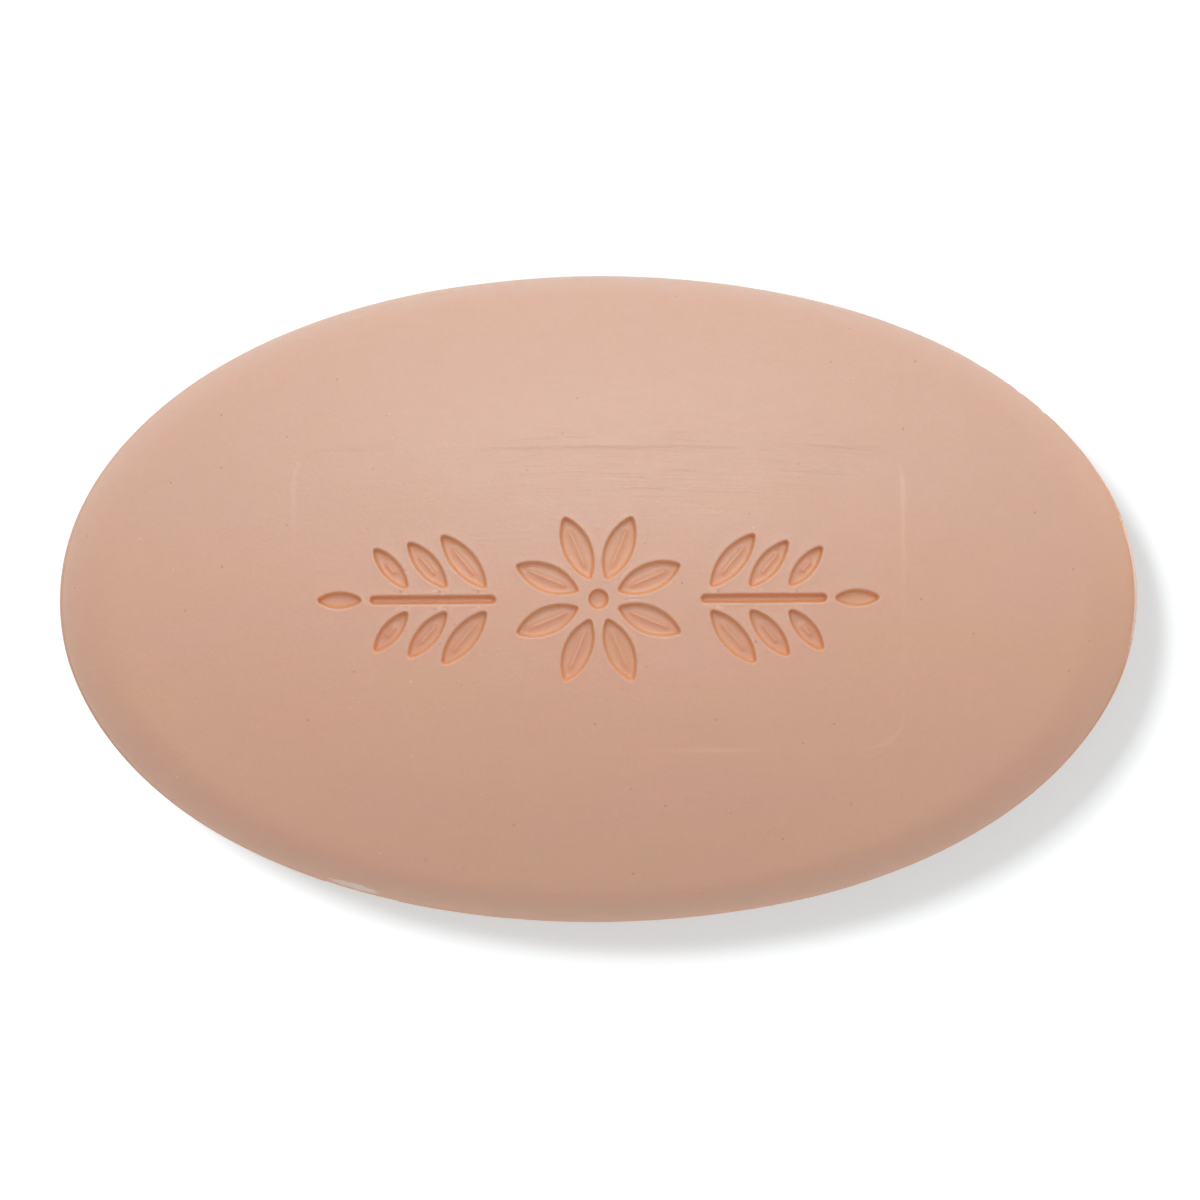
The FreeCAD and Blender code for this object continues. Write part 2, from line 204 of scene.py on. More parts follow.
class Blank:
    """The bar's plain form: one section turned about the upright axis and squeezed across.

    Heights are from the parting line. A reach is a distance from the axis before the squeeze.
    """

    def __init__(self, form, panel_depth):
        self.rim = form.long_way / 2
        self.squeeze = form.wide_way / form.long_way
        self.crown = (form.height + panel_depth + form.belly_relief) / 2
        self.level = self.crown - form.belly_relief
        self.ridge_top = form.ridge_height / 2
        self.side = self.rim - form.ridge_proud
        self.shoulder = form.shoulder
        rise = self.crown - self.ridge_top
        self.face = (self.side**2 + rise**2 - 2 * self.side * self.shoulder) / (
            2 * (rise - self.shoulder)
        )
        centre_gap = self.face - self.shoulder
        self.slant = math.asin((self.side - self.shoulder) / centre_gap)
        self.meeting = self.face * math.sin(self.slant)

    def rise(self, x, y):
        """Height of the smooth face over a point in plan."""
        reach = math.hypot(x, y / self.squeeze)
        return self.crown - self.face + math.sqrt(self.face**2 - reach**2)

    def on_shoulder(self, turn):
        """Reach and height on the shoulder, where turn is how far it has turned from level."""
        reach = self.side - self.shoulder + self.shoulder * math.sin(turn)
        return reach, self.ridge_top + self.shoulder * math.cos(turn)

    def round(self, reach, turn, height):
        """The point at a reach and a turn about the axis."""
        across = reach * self.squeeze
        return Vector((reach * math.cos(turn), across * math.sin(turn), height + self.level))


# Outlines of the mark, each a list of points with the direction that leads out of the outline

def arc_points(centre, radius, start, stop, steps):
    """Points on an arc from start up to, but without, stop."""
    found = []
    for i in range(steps):
        turn = start + (stop - start) * i / steps
        out = Vector((math.cos(turn), math.sin(turn)))
        found.append((centre + radius * out, out))
    return found


def leaf_outline(long_way, wide_way, tip, steps):
    """Two arcs along X that meet in two round tips."""
    half_long, half_wide = long_way / 2, wide_way / 2
    bow = (half_long**2 + half_wide**2) / (2 * half_wide)
    back = bow - half_wide
    tip_x = math.sqrt((bow - tip) ** 2 - back**2)
    lean = math.atan2(back, tip_x)
    few = max(6, steps // 5)
    return (
        arc_points(Vector((tip_x, 0)), tip, -lean, lean, few)
        + arc_points(Vector((0, -back)), bow, lean, math.pi - lean, steps)
        + arc_points(Vector((-tip_x, 0)), tip, math.pi - lean, math.pi + lean, few)
        + arc_points(Vector((0, back)), bow, math.pi + lean, 2 * math.pi - lean, steps)
    )


def stem_outline(long_way, wide_way, steps):
    """A straight bar along X with round ends."""
    end, half = (long_way - wide_way) / 2, wide_way / 2
    few = max(8, steps // 4)
    up, down = Vector((0, 1)), Vector((0, -1))
    top = [(Vector((end - 2 * end * i / steps, half)), up) for i in range(steps)]
    bottom = [(Vector((2 * end * i / steps - end, -half)), down) for i in range(steps)]
    right = arc_points(Vector((end, 0)), half, -math.pi / 2, math.pi / 2, few)
    left = arc_points(Vector((-end, 0)), half, math.pi / 2, 1.5 * math.pi, few)
    return right + top + left + bottom


def turned(vector, turn):
    cos, sin = math.cos(turn), math.sin(turn)
    return Vector((vector.x * cos - vector.y * sin, vector.x * sin + vector.y * cos))


class Print:
    """One island of the mark: its outline, the line of its rib if it has one, and its place."""

    def __init__(self, outline, rib_half, centre, turn, mirror=(1, 1)):
        self.outline = outline
        self.rib_half = rib_half
        self.centre = Vector(centre)
        self.turn = turn
        self.mirror = mirror

    def put(self, point):
        spot = turned(point, self.turn) + self.centre
        return Vector((spot.x * self.mirror[0], spot.y * self.mirror[1]))

    def ring(self, out_by):
        """The outline moved outwards by a distance, or inwards by a negative one."""
        return [self.put(point + out * out_by) for point, out in self.outline]

    def holds(self, spot):
        """Whether a point in plan is inside the outline or close to it."""
        local = Vector((spot.x * self.mirror[0], spot.y * self.mirror[1])) - self.centre
        local = turned(local, -self.turn)
        point, out = min(self.outline, key=lambda pair: (pair[0] - local).length_squared)
        return (local - point).dot(out) < MARK_EDGE[0][0] * MM * MARK_CLEAR


# Section across the mark's edge in millimetres: how far outside the outline, how far down.
# What lies below the panel is scaled, so that the last row is as deep as the mark.
MARK_EDGE = (
    (0.42, 0.0),
    (0.28, -0.016),
    (0.15, -0.028),
    (0.07, -0.010),
    (0.02, 0.030),
    (-0.02, 0.10),
    (-0.06, 0.22),
    (-0.11, 0.42),
    (-0.16, 0.60),
    (-0.20, 0.71),
    (-0.235, 0.775),
    (-0.265, 0.80),
)
MARK_CLEAR = 1.2  # how far loose points stay off an outline, as a share of its edge's width
RIB_SIDE = 0.24 * MM  # half the width of a rib at its foot
RIB_CLEAR = 0.30 * MM  # floor left between a rib and the wall's foot
RIB_STEPS = 18  # along a rib
EYE_STEPS = 40  # around the flower's eye
PETAL_STEPS = 30  # along each side of a petal
LEAF_STEPS = 28  # along each side of a leaf
STEM_STEPS = 40  # along each side of a stem

# Section across a rib: share of its half width, and of its height
RIB_SECTION = ((-1, 0), (-0.5, 0.7), (0, 1), (0.5, 0.7), (1, 0))


def rib_half_length(long_way, wide_way):
    """How far a leaf's rib reaches from its middle before the walls come too close."""
    half_long, half_wide = long_way / 2, wide_way / 2
    bow = (half_long**2 + half_wide**2) / (2 * half_wide)
    least = RIB_SIDE + RIB_CLEAR - MARK_EDGE[-1][0] * MM
    return math.sqrt(max(0.0, bow**2 - (bow - half_wide + least) ** 2))


def mark_prints(mark):
    """All islands of the mark."""
    prints = []
    eye = arc_points(Vector((0, 0)), mark.eye / 2, 0, 2 * math.pi, EYE_STEPS)
    prints.append(Print(eye, 0, (0, 0), 0))
    petal = leaf_outline(mark.petal_length, mark.petal_width, mark.tip, PETAL_STEPS)
    petal_rib = rib_half_length(mark.petal_length, mark.petal_width)
    for i in range(mark.petals):
        turn = mark.petal_turn + 2 * math.pi * i / mark.petals
        middle = turned(Vector((mark.core + mark.petal_length / 2, 0)), turn)
        prints.append(Print(petal, petal_rib, middle, turn))
    pitch = (mark.stem_length - mark.leaf_inset) / mark.leaves
    foot_y = mark.stem_width / 2 + mark.leaf_land
    stem = stem_outline(mark.stem_length, mark.stem_width, STEM_STEPS)
    stem_end = mark.sprig_start + mark.stem_length
    for side in (1, -1):
        prints.append(Print(stem, 0, (stem_end - mark.stem_length / 2, 0), 0, (side, 1)))
        for i in range(mark.leaves + 1):
            long_way = mark.leaf_length * mark.leaf_shrink**i
            wide_way = mark.leaf_width * mark.leaf_shrink**i
            leaf = leaf_outline(long_way, wide_way, mark.tip, LEAF_STEPS)
            rib = rib_half_length(long_way, wide_way)
            at_tip = i == mark.leaves
            turn = 0 if at_tip else mark.leaf_angle
            foot_x = mark.sprig_start + mark.leaf_inset + i * pitch
            foot = Vector((stem_end + mark.leaf_land, 0) if at_tip else (foot_x, foot_y))
            middle = foot + turned(Vector((long_way / 2, 0)), turn)
            for flip in (1,) if at_tip else (1, -1):
                prints.append(Print(leaf, rib, middle, turn, (side, flip)))
    return prints


# Net of points in plan

LOOSE = 0.2  # how far a loose point strays, as a share of the spacing
SAME_SPOT = 1e-8  # metres within which two points are one


class Net:
    """Points in plan, how far each lies below the smooth face, and the lines that join them."""

    def __init__(self):
        self.spots = []
        self.depths = []
        self.hollows = []
        self.lines = []

    def add(self, spot, depth, hollow=0.0):
        self.spots.append(Vector(spot))
        self.depths.append(depth)
        self.hollows.append(hollow)

    def add_line(self, spots, depths, hollow=0.0, closed=True):
        first = len(self.spots)
        for spot, depth in zip(spots, depths):
            self.add(spot, depth, hollow)
        last = len(self.spots) - 1
        self.lines += [(i, i + 1) for i in range(first, last)]
        if closed:
            self.lines.append((last, first))

    def scatter(self, reach_x, reach_y, spacing, clear, depth_at, skip, draw):
        """Fills an oval with points on a loose honeycomb, away from the points already there."""
        tree = KDTree(len(self.spots))
        for i, spot in enumerate(self.spots):
            tree.insert(spot.to_3d(), i)
        tree.balance()
        row_gap = spacing * math.sqrt(3) / 2
        rows = int(reach_y / row_gap)
        for row in range(-rows, rows + 1):
            columns = int(reach_x / spacing) + 1
            for column in range(-columns, columns + 1):
                x = (column + 0.5 * (row % 2)) * spacing + draw.uniform(-LOOSE, LOOSE) * spacing
                y = row * row_gap + draw.uniform(-LOOSE, LOOSE) * spacing
                if math.hypot(x / reach_x, y / reach_y) > 1:
                    continue
                spot = Vector((x, y))
                if tree.find(spot.to_3d())[2] < clear or skip(spot):
                    continue
                self.add(spot, depth_at(spot))

    def triangles(self):
        """Plan points, depths, hollows, triangles, and where each first point ended up."""
        found = delaunay_2d_cdt(self.spots, self.lines, [], 0, SAME_SPOT, True)
        spots, _, faces, sources, _, _ = found
        places = {}
        depths, hollows = [], []
        for i, origin in enumerate(sources):
            for first in origin:
                places[first] = i
            depths.append(self.depths[origin[0]] if origin else 0.0)
            hollows.append(self.hollows[origin[0]] if origin else 0.0)
        return spots, depths, hollows, faces, places


def smooth(value):
    value = min(1.0, max(0.0, value))
    return value * value * (3 - 2 * value)


def inside_panel(panel, spot):
    """How far a point lies inside the panel's outline, negative outside."""
    x = abs(spot.x) - panel.long_way / 2 + panel.corner
    y = abs(spot.y) - panel.wide_way / 2 + panel.corner
    beyond = math.hypot(max(x, 0), max(y, 0)) + min(max(x, y), 0)
    return panel.corner - beyond


WORN_PATCH = 11 * MM  # size of the patches where the panel's step is worn
BURR_PATCH = 1.7 * MM  # size of the crumbs along the step
BURR_HEIGHT = 0.25  # height of the crumbs as a share of the panel's depth
CORNER_STEPS = 8  # around each corner of the panel
STEP_SPACING = 0.5 * MM  # between points along the step

# Lines that carry the step, each outside the panel's outline by a share of the step's width
STEP_LINES = (-0.75, -0.5, -0.25, 0, 0.25, 0.5, 0.75)


def panel_depth_at(panel, spot):
    """How far the panel is sunk at a point: a soft step, most worn towards the lower left."""
    place = Vector((spot.x, spot.y, 0))
    step = smooth(inside_panel(panel, spot) / panel.step + 0.5)
    worn = 0.6 - 1.6 * noise.noise(place / WORN_PATCH) - spot.y / (40 * MM) - spot.x / (80 * MM)
    left = 1 - panel.wear * smooth(worn)
    burr = BURR_HEIGHT * noise.noise(place / BURR_PATCH) * 4 * step * (1 - step)
    return panel.depth * left * (step + burr)


def panel_ring(panel, out_by):
    """The panel's outline moved outwards, as evenly spaced points."""
    radius = panel.corner + out_by
    half_x = panel.long_way / 2 - panel.corner
    half_y = panel.wide_way / 2 - panel.corner
    corners = ((half_x, half_y), (-half_x, half_y), (-half_x, -half_y), (half_x, -half_y))
    spots = []
    for i, (x, y) in enumerate(corners):
        start = i * math.pi / 2
        bend = arc_points(Vector((x, y)), radius, start, start + math.pi / 2, CORNER_STEPS)
        spots += [point for point, _ in bend]
        out = Vector((math.cos(start + math.pi / 2), math.sin(start + math.pi / 2)))
        begin = Vector((x, y)) + out * radius
        end = Vector(corners[(i + 1) % 4]) + out * radius
        pieces = max(2, round((end - begin).length / STEP_SPACING))
        spots += [begin.lerp(end, k / pieces) for k in range(pieces)]
    return spots


AROUND = 512  # points around the rim
FACE_SHARE = 0.95  # part of the face's reach that the plan nets cover
RIM_CLEAR = 0.4 * MM  # kept free of loose points inside a net's rim
TOP_SPACING = 0.7 * MM  # between loose points of the upper net
TOP_CLEAR = 0.3 * MM  # from those to the net's lines
BELLY_SPACING = 1.2 * MM  # the same two for the lower net
BELLY_CLEAR = 0.4 * MM
BELLY_STEPS = 96  # around the belly flat
BELLY_LINES = (0.97, 1.0, 1.03)  # rings along the flat's edge, as shares of its reach
SPRIG_REACH = 1.6  # how far a sprig may reach with its last leaf, as a share of its stem


def net_rim(net, blank):
    """The outer ring of a plan net, the same points above and below."""
    reach = blank.meeting * FACE_SHARE
    turns = [2 * math.pi * i / AROUND for i in range(AROUND)]
    spots = [blank.round(reach, turn, 0).to_2d() for turn in turns]
    net.add_line(spots, [0.0] * AROUND)


def top_net(blank, panel, mark, draw):
    net = Net()
    net_rim(net, blank)
    prints = mark_prints(mark)
    floor = mark.depth / MM
    deepest = MARK_EDGE[-1][1]
    for island in prints:
        for out_by, down in MARK_EDGE:
            spots = island.ring(out_by * MM)
            sunk = down * (floor / deepest if down > 0 else 1) * MM
            depths = [panel_depth_at(panel, spot) + sunk for spot in spots]
            net.add_line(spots, depths, hollow=max(0.0, sunk / mark.depth))
        if island.rib_half > 0:
            add_rib(net, island, panel, mark)
    for out_by in STEP_LINES:
        spots = panel_ring(panel, out_by * panel.step)
        net.add_line(spots, [panel_depth_at(panel, spot) for spot in spots])
    reach = blank.meeting * FACE_SHARE - RIM_CLEAR
    net.scatter(
        reach,
        reach * blank.squeeze,
        TOP_SPACING,
        TOP_CLEAR,
        lambda spot: panel_depth_at(panel, spot),
        lambda spot: near_mark(mark, spot) and any(island.holds(spot) for island in prints),
        draw,
    )
    return net


def near_mark(mark, spot):
    """Whether a point lies within the box that the mark fills."""
    tall = mark.core + mark.petal_length + MM
    return abs(spot.y) < tall and abs(spot.x) < mark.sprig_start + mark.stem_length * SPRIG_REACH


def add_rib(net, island, panel, mark):
    """The low rib along a leaf: a crest, two flanks and two feet, fading at both ends."""
    for across, share_up in RIB_SECTION:
        spots, depths = [], []
        for i in range(RIB_STEPS + 1):
            along = 2 * i / RIB_STEPS - 1
            fade = smooth((1 - abs(along)) * 4)
            point = Vector((along * island.rib_half, across * RIB_SIDE * (0.4 + 0.6 * fade)))
            spot = island.put(point)
            spots.append(spot)
            depths.append(panel_depth_at(panel, spot) + mark.depth - mark.rib * share_up * fade)
        net.add_line(spots, depths, hollow=1.0, closed=False)


def bottom_net(blank, form, draw):
    net = Net()
    net_rim(net, blank)
    flat = math.sqrt(blank.face**2 - (blank.face - form.belly_relief) ** 2)
    for spread in BELLY_LINES:
        turns = [2 * math.pi * i / BELLY_STEPS for i in range(BELLY_STEPS)]
        spots = [blank.round(flat * spread, turn, 0).to_2d() for turn in turns]
        net.add_line(spots, [0.0] * len(spots))
    reach = blank.meeting * FACE_SHARE - RIM_CLEAR
    net.scatter(
        reach,
        reach * blank.squeeze,
        BELLY_SPACING,
        BELLY_CLEAR,
        lambda spot: 0.0,
        lambda spot: False,
        draw,
    )
    return net


def nearness(turn, middle, reach):
    """1 at the middle of a stretch of the rim, falling to 0 where the stretch ends."""
    gap = abs((turn - middle + math.pi) % (2 * math.pi) - math.pi)
    return 1 - smooth(gap / reach)


# Shares of the ridge that are left along the sides, at the ends, and where it is least
SIDE_RIDGE = 0.38
END_RIDGE = 0.98
LEAST_RIDGE = 0.2

# Middle and reach of the stretch where the ridge is chipped, and of the one where chips are pale
CHIPPED = (math.radians(38), math.radians(34))
PALE_CHIPS = (math.radians(34), math.radians(32))

# Radians from the middle of the flash to where it ends, and so do its painted rim light and its
# painted highlight
FLASH_REACH = 0.5
RIM_LIGHT_REACH = 0.9
FLASH_HIGHLIGHT_REACH = 0.42


def ridge_strength(form, turn):
    """How much of the ridge is left at a turn: worn along the sides, chipped on one stretch."""
    here = Vector((math.cos(turn), math.sin(turn), 0))
    uneven = 0.06 * noise.noise(here * 2.0) + 0.03 * noise.noise(here * 14.0)
    left = SIDE_RIDGE + (END_RIDGE - SIDE_RIDGE) * here.x**2 + uneven
    chips = 0.6 * max(0.0, noise.noise(here * 60.0) - 0.3) * nearness(turn, *CHIPPED)
    flash = 0.2 * nearness(turn, form.flash_at, FLASH_REACH)
    return min(1.0, max(LEAST_RIDGE, left + flash - chips))


SHOULDER_STEPS = 18  # rows over the shoulder
SHOULDER_STOP = 0.06  # radians short of level, where the ridge's foot begins

# The ridge's upper side, from the shoulder out to its crest: share of its reach, and of its height
RIDGE_ROWS = ((-0.02, 1.3), (-0.1, 0.9), (0.05, 0.66), (0.35, 0.5), (0.7, 0.38), (0.94, 0.2))


def side_rows(blank, form):
    """Rows of points from the upper net's rim over the ridge to the lower net's rim."""
    start = math.asin(blank.meeting * FACE_SHARE / blank.face)
    halfway = (start + blank.slant) / 2
    height = blank.crown - blank.face + blank.face * math.cos(halfway)
    rows = [[(blank.face * math.sin(halfway), height)] * AROUND]
    sweep = math.pi / 2 - SHOULDER_STOP - blank.slant
    for i in range(SHOULDER_STEPS):
        turn = blank.slant + sweep * i / (SHOULDER_STEPS - 1)
        rows.append([blank.on_shoulder(turn)] * AROUND)
    strengths = [ridge_strength(form, 2 * math.pi * i / AROUND) for i in range(AROUND)]
    for out, up in RIDGE_ROWS:
        row = []
        for strength in strengths:
            reach = blank.side + form.ridge_proud * out * strength
            row.append((reach, blank.ridge_top * up))
        rows.append(row)
    crest = [(blank.side + form.ridge_proud * strength, 0.0) for strength in strengths]
    lower = [[(reach, -height) for reach, height in row] for row in reversed(rows)]
    return rows + [crest] + lower


def add_patch(mesh, net, height_at, flip, hollow_layer):
    """Adds a plan net to the mesh and returns the vertices of its rim."""
    spots, depths, hollows, faces, places = net.triangles()
    verts = []
    for spot, depth, hollow in zip(spots, depths, hollows):
        vert = mesh.verts.new((spot.x, spot.y, height_at(spot, depth)))
        vert[hollow_layer] = hollow
        verts.append(vert)
    for face in faces:
        corners = [verts[i] for i in face]
        mesh.faces.new(reversed(corners) if flip else corners)
    return [verts[places[i]] for i in range(AROUND)]


SEED = 7  # of the loose points


def build_blank(form, panel, mark):
    """The whole bar as one closed mesh, with its worn surface and the layers for its colours."""
    draw = random.Random(SEED)
    blank = Blank(form, panel.depth)
    mesh = bmesh.new()
    hollow_layer = mesh.verts.layers.float.new("hollow")
    scuff_and_highlight_layer = mesh.verts.layers.float.new("scuff")
    rim_light_and_shade_layer = mesh.verts.layers.float.new("edge")

    def upper(spot, depth):
        return blank.level + blank.rise(spot.x, spot.y) - depth

    def lower(spot, _):
        return max(0.0, blank.level - blank.rise(spot.x, spot.y))

    last = add_patch(mesh, top_net(blank, panel, mark, draw), upper, False, hollow_layer)
    end = add_patch(mesh, bottom_net(blank, form, draw), lower, True, hollow_layer)
    rings = []
    for row in side_rows(blank, form):
        ring = []
        for i, (reach, height) in enumerate(row):
            ring.append(mesh.verts.new(blank.round(reach, 2 * math.pi * i / AROUND, height)))
        rings.append(ring)
    for ring in rings + [end]:
        for i in range(AROUND):
            after = (i + 1) % AROUND
            mesh.faces.new((last[i], ring[i], ring[after], last[after]))
        last = ring
    fill_out(mesh, form, blank)
    mesh.normal_update()
    weather(mesh, form)
    paint_rim_light_and_shade(mesh, form, blank, rim_light_and_shade_layer, scuff_and_highlight_layer)
    scuff_rim(mesh, form, blank, scuff_and_highlight_layer)
    keep_inside(mesh)
    mesh.normal_update()
    return mesh


FULL_FROM = 0.75  # share of the rim's reach from which the outline is made fuller


def fill_out(mesh, form, blank):
    """Makes the outline a little fuller than an oval, and leaves the panel as it is."""
    for vert in mesh.verts:
        x, y = vert.co.x, vert.co.y / blank.squeeze
        outer = smooth((math.hypot(x, y) / blank.rim - FULL_FROM) / (1 - FULL_FROM))
        if outer == 0:
            continue
        turn = math.atan2(y, x)
        out = Vector((math.cos(turn) * blank.squeeze, math.sin(turn), 0)).normalized()
        vert.co += out * form.fullness * math.sin(2 * turn) ** 2 * outer


# Sizes of the surface's unevenness in millimetres, and how far above the flat it begins
LARGE_SWELL = 13.0
SMALL_SWELL = 6.0
RIPPLE_LONG, RIPPLE_WIDE, RIPPLE_HIGH = 5.0, 1.9, 3.0
SHRUNK = 0.4  # how far the surface is drawn in, as a share of the swells' depth
GROUND_BAND = 0.6 * MM


def weather(mesh, form):
    """Slow swells and fine ripples over the whole surface, none on the belly flat."""
    for vert in mesh.verts:
        place = vert.co / MM
        grounded = smooth(vert.co.z / GROUND_BAND)
        slow = noise.noise(place / LARGE_SWELL) + 0.5 * noise.noise(place / SMALL_SWELL)
        stretched = (place.x / RIPPLE_LONG, place.y / RIPPLE_WIDE, place.z / RIPPLE_HIGH)
        fine = noise.noise(Vector(stretched))
        vert.co += vert.normal * (form.swell * (slow - SHRUNK) + form.ripple * fine) * grounded


RIM_BAND = 9  # millimetres from the parting line that the rim's painted light and shade reach
RIM_LIGHT_CORE = 3  # millimetres over which it is strongest
ORANGE_PAST = 0.16  # radians from the scuff's middle to that of the painted orange shade beside it
ORANGE_REACH = 0.6
ORANGE_PATCH = 4 * MM
FLAKE_SIZE = 1.1 * MM
UNDERSIDE = 0.15  # share of the painted orange shade, of the painted highlight and of the pale flakes that the underside has


def rim_light_at(form, turn, up):
    """Painted light on the rim: how much lighter it is made, for light through the thin soap and for
    fill, most at the near side and at the flash.
    """
    strength = 0.48 - 0.3 * math.sin(turn) + 0.5 * nearness(turn, form.flash_at, RIM_LIGHT_REACH)
    return strength * (1 - smooth((up - RIM_LIGHT_CORE) / (RIM_BAND - RIM_LIGHT_CORE)))


def painted_ridge_shade_at(form, turn, up, spot):
    """Painted shade beside the ridge, in dark orange: most by the scuff, then at the flash."""
    strength = 1.15 * nearness(turn, form.scuff_at + ORANGE_PAST, ORANGE_REACH)
    strength += 0.6 * nearness(turn, form.flash_at, FLASH_REACH) + 0.3
    patchy = 0.75 + 0.6 * noise.noise(spot / ORANGE_PATCH)
    return strength * patchy * smooth((up - 0.2) / 0.6) * (1 - smooth((up - 1.2) / 2.6))


def flash_highlight_and_chips_at(form, turn, up, spot):
    """How pale the ridge is: a painted highlight along the flash, and pale flakes where it is chipped.
    """
    flash_highlight = nearness(turn, form.flash_at, FLASH_HIGHLIGHT_REACH)
    chipped = 0.5 * nearness(turn, *PALE_CHIPS)
    flakes = smooth(noise.noise(spot / FLAKE_SIZE) * 2.5 + 0.35)
    close = 1 - smooth((up - 0.7) / 0.5)
    return max(flash_highlight * (0.8 + 0.4 * flakes), chipped * flakes) * close


def paint_rim_light_and_shade(mesh, form, blank, rim_light_and_shade_layer, scuff_and_highlight_layer):
    """Paints light and shade on the rim: a lighter rim, dark orange shade beside the ridge, a painted
    highlight on the flash, and pale chipped flakes.
    """
    for vert in mesh.verts:
        above = (vert.co.z - blank.level) / MM
        up = abs(above)
        if up > RIM_BAND:
            continue
        top_side = UNDERSIDE + (1 - UNDERSIDE) * smooth(above / 0.3 + 1)
        turn = math.atan2(vert.co.y / blank.squeeze, vert.co.x)
        vert[rim_light_and_shade_layer] = rim_light_at(form, turn, up) + painted_ridge_shade_at(form, turn, up, vert.co) * top_side
        vert[scuff_and_highlight_layer] = flash_highlight_and_chips_at(form, turn, up, vert.co) * top_side


SCUFF_REACH = 9 * MM  # from the scuffed rim to the last point that is looked at
SCUFF_MIDDLE = 2 * MM  # radius around the scuff's middle in which its highest point is sought
SCUFF_FEATHER = 0.11 * MM  # height over which the scuff's edge fades
SCUFF_LEVELLED = 0.9  # share of what stands above the scuff that is taken off
NICK_DEPTH = 0.2 * MM


def scuff_rim(mesh, form, blank, scuff_and_highlight_layer):
    """The flat that a knock scraped on the shoulder, with the ridge broken off below it."""
    at = form.scuff_at
    rim = blank.round(blank.rim, at, 0)
    out = Vector((math.cos(at) * blank.squeeze, math.sin(at), 0)).normalized()
    along = Vector((-out.y, out.x, 0))
    tilt = form.scuff_tilt
    facing = out * math.cos(tilt) + Vector((0, 0, 1)) * math.sin(tilt)
    reach, height = blank.on_shoulder(math.pi / 2 - tilt)
    middle = blank.round(reach, at, height)
    near = [vert.co for vert in mesh.verts if (vert.co - middle).length < SCUFF_MIDDLE]
    cut = max(spot.dot(facing) for spot in near) - form.scuff_depth
    for vert in mesh.verts:
        if (vert.co - rim).length > SCUFF_REACH:
            continue
        spot = vert.co / MM
        rough = 0.03 * MM * noise.noise(spot * 1.3) + 0.02 * MM * noise.noise(spot * 4.1)
        over = vert.co.dot(facing) - cut - rough
        vert[scuff_and_highlight_layer] = max(vert[scuff_and_highlight_layer], smooth(over / SCUFF_FEATHER + 0.2))
        if over > 0:
            vert.co -= facing * over * SCUFF_LEVELLED
        beside = abs((vert.co - rim).dot(along)) / (form.nick_length / 2)
        if beside < 1 and abs(vert.co.z - blank.level) < blank.ridge_top * 1.2:
            broken = (vert.co - rim).dot(out) + NICK_DEPTH * smooth((1 - beside) * 3) + rough
            if broken > 0:
                vert.co -= out * broken
                vert[scuff_and_highlight_layer] = max(vert[scuff_and_highlight_layer], 0.5)


def keep_inside(mesh):
    """No point leaves the frame's box."""
    for vert in mesh.verts:
        for axis in range(3):
            vert.co[axis] = min(HIGH[axis], max(LOW[axis], vert.co[axis]))


# Materials

class Flow:
    """A value, colour or direction on its way through a material's nodes."""

    def __init__(self, shade, socket):
        self.shade = shade
        self.socket = socket

    def maths(self, operation, first, second):
        return self.shade.node("ShaderNodeMath", {"operation": operation}, {0: first, 1: second})

    def __add__(self, other):
        return self.maths("ADD", self, other)

    def __sub__(self, other):
        return self.maths("SUBTRACT", self, other)

    def __mul__(self, other):
        return self.maths("MULTIPLY", self, other)

    def __rsub__(self, other):
        return self.maths("SUBTRACT", other, self)

    __radd__ = __add__
    __rmul__ = __mul__

    def over(self, low, high):
        """Rises smoothly from 0 to 1 as the value goes from low to high."""
        settings = {"interpolation_type": "SMOOTHSTEP", "clamp": True}
        return self.shade.node("ShaderNodeMapRange", settings, {0: self, 1: low, 2: high})


class Shade:
    """A material's or the world's node tree."""

    def __init__(self, tree):
        self.tree = tree
        tree.nodes.clear()

    def node(self, kind, settings=None, sockets=None, output=0):
        """Adds a node, sets it up, fills its sockets and gives one or more of its outputs."""
        node = self.tree.nodes.new(kind)
        for name, value in (settings or {}).items():
            setattr(node, name, value)
        for key, value in (sockets or {}).items():
            if isinstance(value, Flow):
                self.tree.links.new(value.socket, node.inputs[key])
            else:
                node.inputs[key].default_value = value
        if not node.outputs:
            return None
        if isinstance(output, tuple):
            return [Flow(self, node.outputs[i]) for i in output]
        return Flow(self, node.outputs[output])

    def blend(self, factor, first, second):
        """A colour between two."""
        mix = {"data_type": "RGBA", "clamp_factor": True}
        return self.node("ShaderNodeMix", mix, {0: factor, 6: first, 7: second}, output=2)

    def noise(self, place, scale, detail=2.0, rough=0.5):
        sockets = {"Vector": place, "Scale": scale, "Detail": detail, "Roughness": rough}
        return self.node("ShaderNodeTexNoise", {}, sockets)

    def attribute(self, name):
        return self.node("ShaderNodeAttribute", {"attribute_name": name}, output=2)


def rgba(rgb, gain=1.0):
    return (*(min(1.0, channel * gain) for channel in rgb), 1.0)


# Sizes in the soap, as waves or cells in a millimetre
DRIFTS = 0.19
MOTTLE = 1.1
GRAIN = 2.9
CRUMBS = 2.6
DRAG_LINES = 2.2
CELLS = 0.66
DRAWN = (0.3, 1.0, 0.6)  # drifts and mottle are drawn out along the bar

# Heights on the soap's surface, in millimetres
DRAG_HEIGHT = 0.08
LINE_HEIGHT = 0.012
GRAIN_HEIGHT = 0.037
CRUMB_HEIGHT = 0.12
FLECK_DEPTH = 0.016
GLINT_HEIGHT = 0.006

SOAP_IOR = 1.5
SOAP_RADIUS = (1.0, 0.42, 0.25)  # how far red, green and blue light travel, as shares
FLOOR_WHITE = (0.79, 0.85, 0.87, 1)


